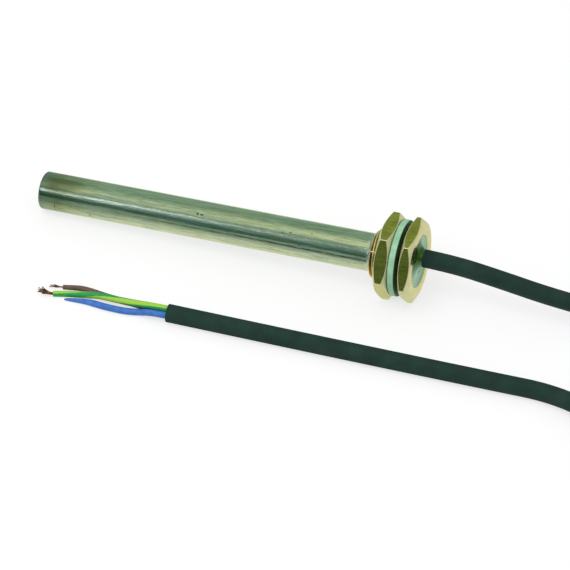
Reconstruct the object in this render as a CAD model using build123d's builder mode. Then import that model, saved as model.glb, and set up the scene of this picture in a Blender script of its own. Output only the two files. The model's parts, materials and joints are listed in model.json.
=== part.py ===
# A round cartridge heater with a screw-in brass fitting, a lock nut, a gasket and a rubber lead.
# Millimetres, Z up. The origin is on the heater's axis, in the flange's seating face.
# The heater lies on a table as it comes to rest: on its tip, and on a corner of each hexagon.

from build123d import *
from math import acos, atan2, cos, degrees, pi, radians, sin, tan
import os

os.makedirs("parts", exist_ok=True)

# Sheath tube
tube_diameter = 16.0
tube_wall = 1.0
tube_reach = 160.0  # from the flange's seating face to the tip
tip_round = 0.8
end_disc_thickness = 2.5

# Threaded bush, with a G 1/2 thread
thread_diameter = 20.955
thread_pitch = 1.814
thread_depth = 0.640327 * thread_pitch  # of the 55 degree form
shank_length = 14.2
flange_thickness = 5.0
recess_diameter = 21.7
recess_depth = 3.5
recess_chamfer = 0.4
relief_width = 1.6
relief_clearance = 0.14  # undercut below the thread's root

# Both hexagons
across_flats = 32.0
chamfer_circle = 31.6  # diameter of the round face that the chamfer leaves
chamfer_angle = 30.0
nut_thickness = 6.0
nut_corner_angle = 29.4  # its lowest corner, from straight down
nut_lead_in = 0.5
thread_clearance = 0.05  # radial, nut on shank

# Gasket and its place
gasket_thickness = 2.8
gasket_diameter = 32.0
gasket_clearance = 0.08  # radial, gasket on shank
gasket_edge = 0.3
gasket_gap = 1.7  # between gasket and flange, as shown

# Solder where the tube enters the bush
spigot_step = 0.2  # how far the tube's end is turned down for the solder
solder_width = 1.1
solder_hollow = 0.35  # how far its slope stands out, as a share of its width

# Hot part
spacer_thickness = 3.0
cold_length = 38.5  # from the hot part to the flange's seating face
former_diameter = 9.0
former_bore = 1.6
winding_wire = 0.8
winding_pitch = 9.0
winding_runs = 10  # straight runs in each turn
winding_clearance = 0.15
winding_margin = 4.0  # bare former at each end of the winding
fill_clearance = 0.05
lead_bush_thickness = 6.0

# Terminal pins, crimps and inner leads
pin_diameter = 2.0
pin_spacing = 4.4
pin_proud = 9.0  # out of the ceramic bush
pin_embed = 6.0  # into the former
pin_clearance = 0.02
ferrule_wall = 0.5
ferrule_length = 7.0
ferrule_overlap = 3.0  # over the pin
sleeve_wall = 0.5
sleeve_clearance = 0.05
sleeve_overrun = 1.5  # past the ferrule at each end
earth_ferrule_diameter = 2.8
earth_ferrule_length = 5.0
earth_pad = 0.4  # between the crimp and the tube's bore
earth_pad_width = 1.6
earth_wire = 1.4
inner_wire = 1.4  # bare copper of an inner lead
inner_straight = 3.5  # straight stretch at each end of an inner lead
bare_end = 3.5  # of an inner lead, in its crimp

# Lead
cable_diameter = 7.6
cable_rise = 1.4  # off the heater's axis, upwards
cable_aside = -0.9  # off the heater's axis, towards the front
cable_embed = 6.0  # into the potting
potting_dish = 1.2  # how far the resin sinks between rim and lead
potting_climb = 0.7  # how far it climbs the lead past the flange's face

# Cores and their bare strands
core_diameter = 2.8
core_lay = 1.63  # radius of the three cores' centres
strand_diameter = 1.2
strand_length = 6.0
core_straight = 6.5  # past the sheath's cut end
brown_place, green_place, blue_place = 300.0, 60.0, 180.0  # round the lead, from back to up

# Route of the lead, in X, Y and height over the table: from the heater to the coil
exit_straight = 17.0
lead_points = [
    (40, 0.9, 16.15),
    (58, 0.9, 13.5),
    (80, 4.9, 8.2),
    (100.3, 11.8, cable_diameter / 2),
    (113.6, 16.4, cable_diameter / 2),
]

# From the coil to the sheath's cut end
tail_points = [
    (111.8, -58.7, 10.2),
    (95, -51.9, 6.6),
    (74, -43.6, cable_diameter / 2),
    (50, -44.8, cable_diameter / 2),
    (5, -46.7, cable_diameter / 2),
    (-42, -48.5, cable_diameter / 2),
    (-86.2, -50.1, cable_diameter / 2),
]

# Stripped cores, after their first straight stretch
brown_points = [
    (-101, -46.4, core_diameter / 2),
    (-111, -45.5, core_diameter / 2),
    (-120, -44.8, core_diameter / 2),
    (-127, -45.7, core_diameter / 2),
    (-133.6, -47.1, core_diameter / 2),
]
green_points = [
    (-101, -48.7, 4.0),
    (-111, -48.2, 3.1),
    (-118.5, -47.8, 2.1),
    (-126, -49.3, core_diameter / 2),
    (-135.9, -52.3, core_diameter / 2),
]
blue_points = [
    (-99, -51.3, 1.7),
    (-108, -52.1, core_diameter / 2),
    (-117, -51.1, core_diameter / 2),
    (-124, -52.1, core_diameter / 2),
    (-130.1, -53.4, core_diameter / 2),
]

# Coil of the length that is put away
coil_centre = (150.0, -22.0)
coil_radius = 39.4  # middle of its turns
coil_rows = 2
coil_spread = 2.3  # spiral travel in each layer, in cable diameters
coil_edge = 2.2

# The heater's rest: the tip, the nut's lowest corner and the flange's lowest corner touch the table
hex_radius = across_flats / 2 / cos(radians(30))
chamfer_depth = (hex_radius - chamfer_circle / 2) * tan(radians(chamfer_angle))
nut_end = -gasket_gap - gasket_thickness  # the nut's face on the gasket
nut_start = nut_end - nut_thickness
nut_drop = hex_radius * cos(radians(nut_corner_angle))
touch_on_nut = nut_start + chamfer_depth
touch_on_tip = -tube_reach + tip_round
rise_over_run = (nut_drop - tube_diameter / 2) / (touch_on_nut - touch_on_tip)
tilt = degrees(atan2(rise_over_run, 1))
flange_drop = nut_drop + rise_over_run * (chamfer_depth - touch_on_nut)
flange_corner_angle = degrees(acos(flange_drop / hex_radius))
axis_way = Vector(cos(radians(tilt)), 0, sin(radians(tilt)))
axis_up = Vector(-sin(radians(tilt)), 0, cos(radians(tilt)))
table_height = (axis_way * touch_on_nut - axis_up * nut_drop).Z

heater_axis = Axis((0, 0, 0), axis_way)
section = Plane((0, 0, 0), x_dir=axis_way, z_dir=(0, -1, 0))


def across(station, up=0.0, front=0.0):
    """A plane square to the heater at a station along its axis; its X is up and its Y is to the front."""
    centre = axis_way * station + axis_up * up - Vector(0, front, 0)
    return Plane(centre, x_dir=axis_up, z_dir=axis_way)


def turned(*profile, mode=Mode.ADD):
    """Revolve a closed profile, given as (station, radius) points, round the heater's axis."""
    with BuildSketch(section) as outline:
        with BuildLine():
            Polyline(*profile, close=True)
        make_face()
    revolve(outline.sketch, axis=heater_axis, mode=mode)


def hex_blank(start, thickness, corner_angle):
    """A hexagon chamfered on both faces; its corner angle runs from straight down to the back."""
    middle = start + thickness / 2
    stop = start + thickness
    cone_reach = chamfer_circle / 2 + thickness / 2 / tan(radians(chamfer_angle))
    with BuildSketch(across(start)) as hexagon:
        RegularPolygon(hex_radius, 6, rotation=180 + corner_angle)
    extrude(hexagon.sketch, amount=thickness)
    turned(
        (start, 0),
        (start, chamfer_circle / 2),
        (middle, cone_reach),
        (stop, chamfer_circle / 2),
        (stop, 0),
        mode=Mode.INTERSECT,
    )


def rod(start, length, diameter, up=0.0, front=0.0, mode=Mode.ADD):
    """A round rod along the heater, or a hole of that form."""
    with BuildSketch(across(start, up, front)) as disc:
        Circle(diameter / 2)
    extrude(disc.sketch, amount=length, mode=mode)


def finish(piece, name):
    """Label a piece and write its STEP file."""
    piece.part.label = name
    export_step(piece.part, f"parts/{name}.step")
    return piece


# Stations along the heater's axis, from the tip to the lead
tube_radius = tube_diameter / 2
spigot_radius = tube_radius - spigot_step
relief_depth = thread_depth + relief_clearance
bore_radius = tube_radius - tube_wall
thread_radius = thread_diameter / 2
recess_floor = flange_thickness - recess_depth
spacer_start = -tube_reach + end_disc_thickness
former_start = spacer_start + spacer_thickness
former_end = -cold_length
former_length = former_end - former_start
lead_bush_end = former_end + lead_bush_thickness
pin_end = lead_bush_end + pin_proud
ferrule_start = pin_end - ferrule_overlap
ferrule_end = ferrule_start + ferrule_length
solder_start = -shank_length - solder_width
cable_start = flange_thickness - cable_embed

# Sheath tube, rounded where the end disc is welded in and turned down where it is soldered into the bush
with BuildPart() as sheath_tube:
    turned(
        (-tube_reach, bore_radius),
        (-tube_reach, tube_radius),
        (solder_start, tube_radius),
        (solder_start, spigot_radius),
        (recess_floor, spigot_radius),
        (recess_floor, bore_radius),
    )
    tip_edge = sheath_tube.edges().group_by(heater_axis)[0].sort_by(SortBy.RADIUS)[-1]
    fillet(tip_edge, tip_round)
finish(sheath_tube, "sheath_tube")

with BuildPart() as end_disc:
    rod(-tube_reach, end_disc_thickness, 2 * bore_radius)
finish(end_disc, "end_disc")

# Threaded bush: flange, undercut, shank and the recess for the potting
with BuildPart() as threaded_bush:
    hex_blank(0, flange_thickness, -flange_corner_angle)
    turned(
        (0, 0),
        (0, thread_radius - relief_depth),
        (-relief_width, thread_radius - relief_depth),
        (-relief_width - relief_depth, thread_radius),
        (-shank_length + thread_depth, thread_radius),
        (-shank_length, thread_radius - thread_depth),
        (-shank_length, 0),
    )
    turned(
        (-shank_length, 0),
        (-shank_length, spigot_radius),
        (recess_floor, spigot_radius),
        (recess_floor, recess_diameter / 2),
        (flange_thickness - recess_chamfer, recess_diameter / 2),
        (flange_thickness, recess_diameter / 2 + recess_chamfer),
        (flange_thickness, 0),
        mode=Mode.SUBTRACT,
    )
finish(threaded_bush, "threaded_bush")

with BuildPart() as lock_nut:
    nut_bore = thread_radius + thread_clearance
    hex_blank(nut_start, nut_thickness, nut_corner_angle)
    turned(
        (nut_start, 0),
        (nut_start, nut_bore + nut_lead_in),
        (nut_start + nut_lead_in, nut_bore),
        (nut_end - nut_lead_in, nut_bore),
        (nut_end, nut_bore + nut_lead_in),
        (nut_end, 0),
        mode=Mode.SUBTRACT,
    )
finish(lock_nut, "lock_nut")

with BuildPart() as gasket:
    gasket_bore = thread_radius + gasket_clearance
    turned(
        (nut_end, gasket_bore),
        (nut_end, gasket_diameter / 2),
        (nut_end + gasket_thickness, gasket_diameter / 2),
        (nut_end + gasket_thickness, gasket_bore),
    )
    rims = gasket.edges().filter_by(GeomType.CIRCLE).group_by(SortBy.RADIUS)[-1]
    chamfer(rims, gasket_edge)
finish(gasket, "gasket")

# Solder drawn into the corner between tube and shank
with BuildPart() as solder_ring:
    turned(
        (-shank_length, spigot_radius),
        (-shank_length, tube_radius + solder_width),
        (-shank_length - solder_hollow * solder_width, tube_radius + solder_hollow * solder_width),
        (solder_start, tube_radius),
        (solder_start, spigot_radius),
    )
finish(solder_ring, "solder_ring")

# Resin that fills the recess and the tube's mouth, sunk between the rim and the lead
with BuildPart() as potting_plug:
    resin_rim = flange_thickness - recess_chamfer
    resin_crown = flange_thickness + potting_climb
    crown_radius = cable_diameter / 2 + abs(cable_rise) + abs(cable_aside)
    turned(
        (resin_crown, 0),
        (cable_start, 0),
        (cable_start, bore_radius),
        (recess_floor, bore_radius),
        (recess_floor, recess_diameter / 2),
        (resin_rim, recess_diameter / 2),
        (resin_rim - potting_dish, recess_diameter / 2 - potting_dish),
        (resin_rim - potting_dish, crown_radius + potting_dish),
        (resin_crown, crown_radius),
    )
    rod(cable_start, 2 * cable_embed, cable_diameter, cable_rise, cable_aside, Mode.SUBTRACT)
finish(potting_plug, "potting_plug")

with BuildPart() as tip_spacer:
    rod(spacer_start, spacer_thickness, 2 * bore_radius)
finish(tip_spacer, "tip_spacer")

# Former, with a bore along its middle and a blind hole for each pin
with BuildPart() as ceramic_core:
    rod(former_start, former_length, former_diameter)
    rod(former_start, former_length, former_bore, mode=Mode.SUBTRACT)
    for side in (-1, 1):
        hole = pin_diameter + 2 * pin_clearance
        rod(former_end, -pin_embed, hole, front=side * pin_spacing / 2, mode=Mode.SUBTRACT)
finish(ceramic_core, "ceramic_core")

# Heating wire wound round the former, bent as short straight runs so that it has few faces
with BuildPart() as resistance_winding:
    winding_radius = (former_diameter / 2 + winding_clearance + winding_wire / 2) / cos(pi / winding_runs)
    winding_steps = round((former_length - 2 * winding_margin) / winding_pitch * winding_runs)
    bends = []
    for step in range(winding_steps + 1):
        station = former_start + winding_margin + winding_pitch * step / winding_runs
        turn = 2 * pi * step / winding_runs
        bends.append(across(station, winding_radius * cos(turn), winding_radius * sin(turn)).origin)
    with BuildLine() as wire:
        Polyline(*bends)
    with BuildSketch(Plane(bends[0], x_dir=axis_way, z_dir=bends[1] - bends[0])):
        Rectangle(winding_wire, winding_wire)
    sweep(path=wire.wires()[0], transition=Transition.RIGHT, normal=axis_way)
finish(resistance_winding, "resistance_winding")

with BuildPart() as magnesia_fill:
    fill_bore = (winding_radius + winding_wire / 2) / cos(pi / winding_runs) + fill_clearance
    turned(
        (former_start, fill_bore),
        (former_start, bore_radius),
        (former_end, bore_radius),
        (former_end, fill_bore),
    )
finish(magnesia_fill, "magnesia_fill")

with BuildPart() as lead_end_bush:
    rod(former_end, lead_bush_thickness, 2 * bore_radius)
    for side in (-1, 1):
        hole = pin_diameter + 2 * pin_clearance
        rod(former_end, lead_bush_thickness, hole, front=side * pin_spacing / 2, mode=Mode.SUBTRACT)
finish(lead_end_bush, "lead_end_bush")

# Pins, crimps and sleeves, one set at the back and one at the front
ferrule_diameter = pin_diameter + 2 * ferrule_wall
sleeve_bore = ferrule_diameter + 2 * sleeve_clearance
sleeve_start = ferrule_start - sleeve_overrun
sleeve_length = ferrule_length + 2 * sleeve_overrun
for number, side in ((1, -1), (2, 1)):
    front = side * pin_spacing / 2
    with BuildPart() as terminal_pin:
        rod(former_end - pin_embed, pin_embed + lead_bush_thickness + pin_proud, pin_diameter, front=front)
    finish(terminal_pin, f"terminal_pin_{number}")
    with BuildPart() as splice_ferrule:
        rod(ferrule_start, ferrule_length, ferrule_diameter, front=front)
        rod(ferrule_start, ferrule_length, pin_diameter, front=front, mode=Mode.SUBTRACT)
    finish(splice_ferrule, f"splice_ferrule_{number}")
    with BuildPart() as splice_sleeve:
        rod(sleeve_start, sleeve_length, sleeve_bore + 2 * sleeve_wall, front=front)
        rod(sleeve_start, sleeve_length, sleeve_bore, front=front, mode=Mode.SUBTRACT)
    finish(splice_sleeve, f"splice_sleeve_{number}")

# Earth crimp, bonded to the tube's bore
earth_up = bore_radius - earth_ferrule_diameter / 2 - earth_pad
earth_end = ferrule_end
with BuildPart() as earth_ferrule:
    with BuildSketch(across(earth_end)):
        with Locations((earth_up, 0)):
            Circle(earth_ferrule_diameter / 2)
        with Locations((bore_radius, 0)):
            Rectangle(2 * (bore_radius - earth_up), earth_pad_width)
        Circle(bore_radius, mode=Mode.INTERSECT)
        with Locations((earth_up, 0)):
            Circle(earth_wire / 2, mode=Mode.SUBTRACT)
    extrude(amount=-earth_ferrule_length)
finish(earth_ferrule, "earth_ferrule")


def lay_tube(points, diameter):
    """A tube along straight runs joined by tangent arcs, each as large as its two runs allow."""
    points = [Vector(*point) for point in points]
    runs = [after - before for before, after in zip(points, points[1:])]
    radii = []
    for run, onward in zip(runs, runs[1:]):
        half_turn = radians(run.get_angle(onward)) / 2
        radii.append(0.45 * min(run.length, onward.length) / tan(half_turn))
    with BuildLine() as route:
        FilletPolyline(*points, radius=radii)
    with BuildSketch(Plane(points[0], z_dir=runs[0])) as disc:
        Circle(diameter / 2)
    sweep(disc.sketch, path=route.wires()[0])
    return [round(radius / diameter, 1) for radius in radii], route.wires()[0].length


def report_tube(name, piece, diameter, bends, length):
    """Print a tube's bends in diameters and compare its volume with section times length."""
    share = piece.part.volume / (pi * diameter**2 / 4 * length)
    print(name, "length", round(length, 1), "bends in diameters", bends, "volume share", round(share, 4))


def core_offset(angle):
    """A core's place in the lead, as (back, up) from the lead's centre."""
    return core_lay * cos(radians(angle)), core_lay * sin(radians(angle))


# Inner leads, from the lead's cut end to the crimps: core, place in the lead, crimp's end, crimp's place
for name, angle, stop, up, front in (
    ("inner_lead_brown", brown_place, ferrule_end, 0, -pin_spacing / 2),
    ("inner_lead_blue", blue_place, ferrule_end, 0, pin_spacing / 2),
    ("inner_lead_green_yellow", green_place, earth_end, earth_up, 0),
):
    back, rise = core_offset(angle)
    first_up, first_front = cable_rise + rise, cable_aside - back
    with BuildPart() as inner_lead:
        bend_out = cable_start - inner_straight
        bend_in = stop + inner_straight
        route_points = [
            across(cable_start, first_up, first_front).origin,
            across(bend_out, first_up, first_front).origin,
            across(bend_in, up, front).origin,
            across(stop, up, front).origin,
        ]
        bends, length = lay_tube(route_points, core_diameter)
        rod(stop, -bare_end, inner_wire, up, front)
    finish(inner_lead, name)
    print(name, "length", round(length, 1), "bends in diameters", bends)

# Free lead: stretches of one plain tube, and the outer shape of its coil
cable_exit = across(cable_start, cable_rise, cable_aside).origin
straight_out = across(exit_straight, cable_rise, cable_aside).origin
lead_route = [cable_exit, straight_out, *(Vector(x, y, table_height + up) for x, y, up in lead_points)]
with BuildPart() as cable_lead:
    bends, length = lay_tube(lead_route, cable_diameter)
finish(cable_lead, "cable_lead")
report_tube("cable_lead", cable_lead, cable_diameter, bends, length)

with BuildPart() as cable_coil:
    outer = coil_radius + (coil_spread + 1) / 2 * cable_diameter
    inner = coil_radius - (coil_spread + 1) / 2 * cable_diameter
    with BuildSketch(Plane((*coil_centre, table_height))):
        Circle(outer)
        Circle(inner, mode=Mode.SUBTRACT)
    extrude(amount=coil_rows * cable_diameter)
    chamfer(cable_coil.edges().filter_by(GeomType.CIRCLE), coil_edge)
finish(cable_coil, "cable_coil")

tail_route = [Vector(x, y, table_height + up) for x, y, up in tail_points]
with BuildPart() as cable_tail:
    bends, length = lay_tube(tail_route, cable_diameter)
finish(cable_tail, "cable_tail")
report_tube("cable_tail", cable_tail, cable_diameter, bends, length)

# Stripped cores, from the sheath's cut end, and the bare strands at their ends
cut_end = tail_route[-1]
cut_way = (tail_route[-1] - tail_route[-2]).normalized()
cut_back = Vector(0, 0, 1).cross(cut_way) * -1
for colour, angle, points in (
    ("brown", brown_place, brown_points),
    ("green_yellow", green_place, green_points),
    ("blue", blue_place, blue_points),
):
    back, rise = core_offset(angle)
    start = cut_end + cut_back * back + Vector(0, 0, rise)
    core_route = [start, start + cut_way * core_straight]
    core_route += [Vector(x, y, table_height + up) for x, y, up in points]
    with BuildPart() as core:
        bends, length = lay_tube(core_route, core_diameter)
    finish(core, f"core_{colour}")
    report_tube(f"core_{colour}", core, core_diameter, bends, length)
    with BuildPart() as strands:
        with BuildSketch(Plane(core_route[-1], z_dir=core_route[-1] - core_route[-2])):
            Circle(strand_diameter / 2)
        extrude(amount=strand_length)
    finish(strands, f"strands_{colour}")
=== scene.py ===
import json
import math
from functools import partial
import bmesh
import bpy
from mathutils import Matrix, Vector, noise

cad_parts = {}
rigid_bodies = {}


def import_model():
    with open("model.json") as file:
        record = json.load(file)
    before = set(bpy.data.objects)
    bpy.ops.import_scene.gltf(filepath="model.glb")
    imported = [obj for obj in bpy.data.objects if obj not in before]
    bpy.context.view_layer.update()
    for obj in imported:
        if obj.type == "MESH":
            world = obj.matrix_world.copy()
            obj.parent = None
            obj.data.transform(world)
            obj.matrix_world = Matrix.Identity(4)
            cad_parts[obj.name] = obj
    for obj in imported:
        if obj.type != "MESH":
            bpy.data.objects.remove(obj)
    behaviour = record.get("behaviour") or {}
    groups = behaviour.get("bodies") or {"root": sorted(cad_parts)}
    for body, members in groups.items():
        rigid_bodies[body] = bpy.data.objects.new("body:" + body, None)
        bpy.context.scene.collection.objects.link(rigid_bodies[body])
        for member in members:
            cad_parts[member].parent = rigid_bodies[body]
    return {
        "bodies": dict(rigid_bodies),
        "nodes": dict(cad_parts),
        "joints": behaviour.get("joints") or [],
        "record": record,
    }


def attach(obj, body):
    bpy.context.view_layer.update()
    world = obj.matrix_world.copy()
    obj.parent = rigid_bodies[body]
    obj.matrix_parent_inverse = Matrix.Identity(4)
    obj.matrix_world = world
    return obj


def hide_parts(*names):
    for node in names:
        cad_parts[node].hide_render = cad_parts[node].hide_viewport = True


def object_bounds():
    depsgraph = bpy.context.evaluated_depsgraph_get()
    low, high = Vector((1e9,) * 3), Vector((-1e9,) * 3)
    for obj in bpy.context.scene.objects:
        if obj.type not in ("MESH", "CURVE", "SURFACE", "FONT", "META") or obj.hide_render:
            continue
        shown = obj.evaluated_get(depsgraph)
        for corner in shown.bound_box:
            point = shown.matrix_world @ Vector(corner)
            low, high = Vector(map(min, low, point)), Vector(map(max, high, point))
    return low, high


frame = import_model()
cadLow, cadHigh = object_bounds()
print("frame loaded:", len(frame["nodes"]), "nodes")

mm = 0.001
pole = 0.0004  # mm, the radius that a closed surface ends with, small enough to be merged to a point
heaterBody, gasketBody, nutBody = "heater", "gasket", "lock_nut"

# The heater lies on its tip and on a corner of each hexagon, so its axis, the gasket's slide, is tilted
axisWay = Vector(frame["joints"][0]["axis"]).normalized()
axisUp = Vector((-axisWay.z, 0, axisWay.x))
tiltAngle = math.atan2(axisWay.z, axisWay.x)
tableHeight = cadLow.z
# In the heater's own frame X runs from the tip to the lead, Y to the back and Z up
heaterFrame = Matrix((axisWay, (0, 1, 0), axisUp)).transposed().to_4x4()


def onHeater(station, up=0.0, front=0.0):
    return axisWay * station + axisUp * up - Vector((0, front, 0))


def setInputs(tree, node, values):
    for key, value in values.items():
        if isinstance(value, bpy.types.NodeSocket):
            tree.links.new(value, node.inputs[key])
        else:
            node.inputs[key].default_value = value


def addNode(tree, kind, inputs=None, **settings):
    node = tree.nodes.new(kind)
    for key, value in settings.items():
        setattr(node, key, value)
    setInputs(tree, node, inputs or {})
    return node


def maths(tree, operation, *values, clamp=False):
    node = addNode(tree, "ShaderNodeMath", dict(enumerate(values)), operation=operation, use_clamp=clamp)
    return node.outputs[0]


def times(tree, *values, **settings):
    return maths(tree, "MULTIPLY", *values, **settings)


def plus(tree, *values):
    return maths(tree, "ADD", *values)


def lengthOf(tree, first, second):
    return maths(tree, "SQRT", plus(tree, times(tree, first, first), times(tree, second, second)))


def ranged(tree, value, low, high, first=0.0, last=1.0, **settings):  # a value carried over to another range
    inputs = {0: value, 1: low, 2: high, 3: first, 4: last}
    return addNode(tree, "ShaderNodeMapRange", inputs, **settings).outputs[0]


def mixColours(tree, factor, first, second, blend="MIX"):
    inputs = {0: factor, 6: first, 7: second}
    return addNode(tree, "ShaderNodeMix", inputs, data_type="RGBA", blend_type=blend).outputs[2]


def colourRamp(tree, factor, stops):
    node = addNode(tree, "ShaderNodeValToRGB", {0: factor})
    elements = node.color_ramp.elements
    while len(elements) < len(stops):
        elements.new(0.5)
    for element, (place, colour) in zip(elements, stops):
        element.position = place
        element.color = (*colour, 1)
    return node.outputs[0]


def mottled(tree, factor, first, second, low=0.3, high=0.7):
    return colourRamp(tree, factor, [(low, first), (high, second)])


def noiseOn(tree, coordinates, scale, detail=2.0, roughness=0.5):
    inputs = {"Vector": coordinates, "Scale": scale, "Detail": detail, "Roughness": roughness}
    return addNode(tree, "ShaderNodeTexNoise", inputs).outputs[0]


def streaks(tree, coordinates, scales, detail, roughness=0.5):
    stretched = addNode(tree, "ShaderNodeMapping", {"Vector": coordinates, "Scale": scales}).outputs[0]
    return noiseOn(tree, stretched, 1.0, detail, roughness)


def objectPlace(tree):
    return addNode(tree, "ShaderNodeTexCoord").outputs["Object"]


def heaterPlace(tree):  # object coordinates turned so that X runs along the heater
    place = objectPlace(tree)
    return addNode(tree, "ShaderNodeMapping", {"Vector": place, "Rotation": (0, tiltAngle, 0)}).outputs[0]


def parts(tree, vector):
    return addNode(tree, "ShaderNodeSeparateXYZ", {0: vector}).outputs


def newMaterial(name):
    material = bpy.data.materials.new(name)
    material.use_nodes = True
    tree = material.node_tree
    return material, tree, tree.nodes["Principled BSDF"]


def setShader(shader, tree, **inputs):
    setInputs(tree, shader, {key.replace("_", " "): value for key, value in inputs.items()})


def bumpFrom(tree, height, strength, distance, onto=None):
    inputs = {"Strength": strength, "Distance": distance, "Height": height}
    if onto is not None:
        inputs["Normal"] = onto
    return addNode(tree, "ShaderNodeBump", inputs).outputs[0]


def placed(name, data):
    item = bpy.data.objects.new(name, data)
    bpy.context.scene.collection.objects.link(item)
    return item


def evaluatedMesh(item):
    return bpy.data.meshes.new_from_object(item.evaluated_get(bpy.context.evaluated_depsgraph_get()))


def meshPiece(name, bm, material, body, replaced, slot, sharpAngle=32):
    bmesh.ops.remove_doubles(bm, verts=bm.verts, dist=0.002 * mm)
    bmesh.ops.dissolve_degenerate(bm, edges=bm.edges, dist=0.001 * mm)
    bmesh.ops.recalc_face_normals(bm, faces=bm.faces)
    for face in bm.faces:
        face.smooth = True
    for edge in bm.edges:
        edge.smooth = len(edge.link_faces) == 2 and edge.calc_face_angle(0) < math.radians(sharpAngle)
    mesh = bpy.data.meshes.new(name)
    bm.to_mesh(mesh)
    bm.free()
    mesh.materials.append(material)
    piece = placed(name, mesh)
    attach(piece, body)
    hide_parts(*replaced)
    return piece


def addGrid(bm, rows):  # rows of points, each running round
    verts = [[bm.verts.new(point) for point in row] for row in rows]
    uvLayer = bm.loops.layers.uv.verify()
    last, count = len(rows) - 1, len(rows[0])
    for i in range(last):
        for j in range(count):
            k = (j + 1) % count
            face = bm.faces.new((verts[i][j], verts[i][k], verts[i + 1][k], verts[i + 1][j]))
            for loop, (a, b) in zip(face.loops, ((i, j), (i, j + 1), (i + 1, j + 1), (i + 1, j))):
                loop[uvLayer].uv = (a / last, b / count)


def gridPiece(name, rows, *looks):
    bm = bmesh.new()
    addGrid(bm, rows)
    return meshPiece(name, bm, *looks)


def ringAt(point, side, across, radius, segments):
    turns = (2 * math.pi * j / segments for j in range(segments))
    return [point + (side * math.cos(turn) + across * math.sin(turn)) * radius for turn in turns]


def ringPoint(station, radius, angle):  # the angle runs from straight down to the back
    return heaterFrame @ Vector((station, radius * math.sin(angle), -radius * math.cos(angle)))


def eased(profile, reach):  # every corner of an open profile becomes two points, each up to reach away
    result = [profile[0]]
    for before, corner, after in zip(profile, profile[1:], profile[2:]):
        for other in (before, after):
            step = Vector(other) - Vector(corner)
            move = min(reach, 0.45 * step.length)
            result.append(tuple(Vector(corner) + step.normalized() * move) if step.length else tuple(corner))
    result.append(profile[-1])
    return result


# Camera, matched to the photograph
camera = {
    "azimuth": 18.278, "elevation": 42.454, "roll": 0.748,  # degrees
    "lens": 240.7, "sensor": 36.0,
    "place": Vector((315.18, -1114.77, 1043.65)) * mm,
}


def makeCamera(setup):
    around, above, roll = (math.radians(setup[key]) for key in ("azimuth", "elevation", "roll"))
    back = Vector((math.sin(around) * math.cos(above), -math.cos(around) * math.cos(above), math.sin(above)))
    level = Vector((math.cos(around), math.sin(around), 0))
    right = level * math.cos(roll) + back.cross(level) * math.sin(roll)
    data = bpy.data.cameras.new("photoCamera")
    data.lens, data.sensor_width = setup["lens"], setup["sensor"]
    data.clip_start, data.clip_end = 0.01, 20
    item = placed("photoCamera", data)
    turn = Matrix((right, back.cross(right), back)).transposed()
    item.matrix_world = Matrix.Translation(setup["place"]) @ turn.to_4x4()
    bpy.context.scene.camera = item


makeCamera(camera)
bpy.context.scene.view_settings.view_transform = "Standard"
print("camera placed")


# Rubber lead, one cord from the potting to its cut end, with its coil past the picture's right edge
lead = {
    "diameter": 7.6, "rise": 1.4, "aside": -0.9, "start": -1.0, "straight": 17.0, "face": 5.0,  # mm
    "onWay": [(40, 0.9, 16.15), (58, 0.9, 13.5), (80, 4.9, 8.2), (100.3, 11.8, 3.8), (113.6, 16.4, 3.8)],
    "coilCentre": (150.0, -22.0), "coilOuter": 48.14, "coilTravel": 17.48,  # mm, at the middle of the cord
    "arrives": 109.0, "turning": 1660.6,  # degrees
    "pointsPerTurn": 16, "climb": 0.08,  # the second is a share of the turns
    "onReturn": [(111.8, -58.7, 10.2), (95, -51.9, 6.6), (74, -43.6, 3.8), (50, -44.8, 3.8), (5, -46.7, 3.8),
                 (-42, -48.5, 3.8), (-86.6, -50.1, 3.8)],
    "length": 1.5,  # m
}


def overTable(x, y, height):  # mm over the table, to a point in metres
    return Vector((x * mm, y * mm, tableHeight + height * mm))


def tablePoints(points):
    return [overTable(*point) for point in points]


def coilPoints(setup):
    steps = round(setup["turning"] / 360 * setup["pointsPerTurn"])
    swell = 1 / math.cos(math.pi / setup["pointsPerTurn"])  # the spline cuts inside its control points
    points = []
    for step in range(steps + 1):
        share = step / steps
        angle = math.radians(setup["arrives"] - setup["turning"] * share)
        radius = (setup["coilOuter"] - setup["coilTravel"] * (1 - abs(2 * share - 1))) * swell
        climbed = min(max((share - 0.5) / (2 * setup["climb"]) + 0.5, 0), 1)
        height = setup["diameter"] * (0.5 + climbed * climbed * (3 - 2 * climbed))
        x, y = setup["coilCentre"]
        points.append(overTable(x + radius * math.cos(angle), y + radius * math.sin(angle), height))
    return points


def nurbsCurve(name, points):
    curve = bpy.data.curves.new(name, "CURVE")
    curve.dimensions = "3D"
    spline = curve.splines.new("NURBS")
    spline.points.add(len(points) - 1)
    for target, point in zip(spline.points, points):
        target.co = (*point, 1)
    spline.order_u = 3
    spline.use_endpoint_u = True
    spline.resolution_u = 12
    curve.resolution_u = 12
    return placed(name, curve)


def linePoints(points):  # points read from the route's spline
    route = nurbsCurve("route", points)
    mesh = evaluatedMesh(route)
    line = [vertex.co.copy() for vertex in mesh.vertices]
    curve = route.data
    bpy.data.objects.remove(route)
    bpy.data.curves.remove(curve)
    bpy.data.meshes.remove(mesh)
    return line


def rubberMaterial():
    material, tree, shader = newMaterial("leadRubber")
    place = objectPlace(tree)
    cloudy = noiseOn(tree, place, 130, 3)
    grain = noiseOn(tree, place, 2600, 3, 0.6)
    colour = mottled(tree, cloudy, (0.008, 0.027, 0.022), (0.014, 0.039, 0.032))
    roughness = ranged(tree, cloudy, 0, 1, 0.60, 0.75)
    setShader(shader, tree, Base_Color=colour, Roughness=roughness, Specular_IOR_Level=0.28,
              Normal=bumpFrom(tree, grain, 0.25, 0.05 * mm))
    return material


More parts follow.
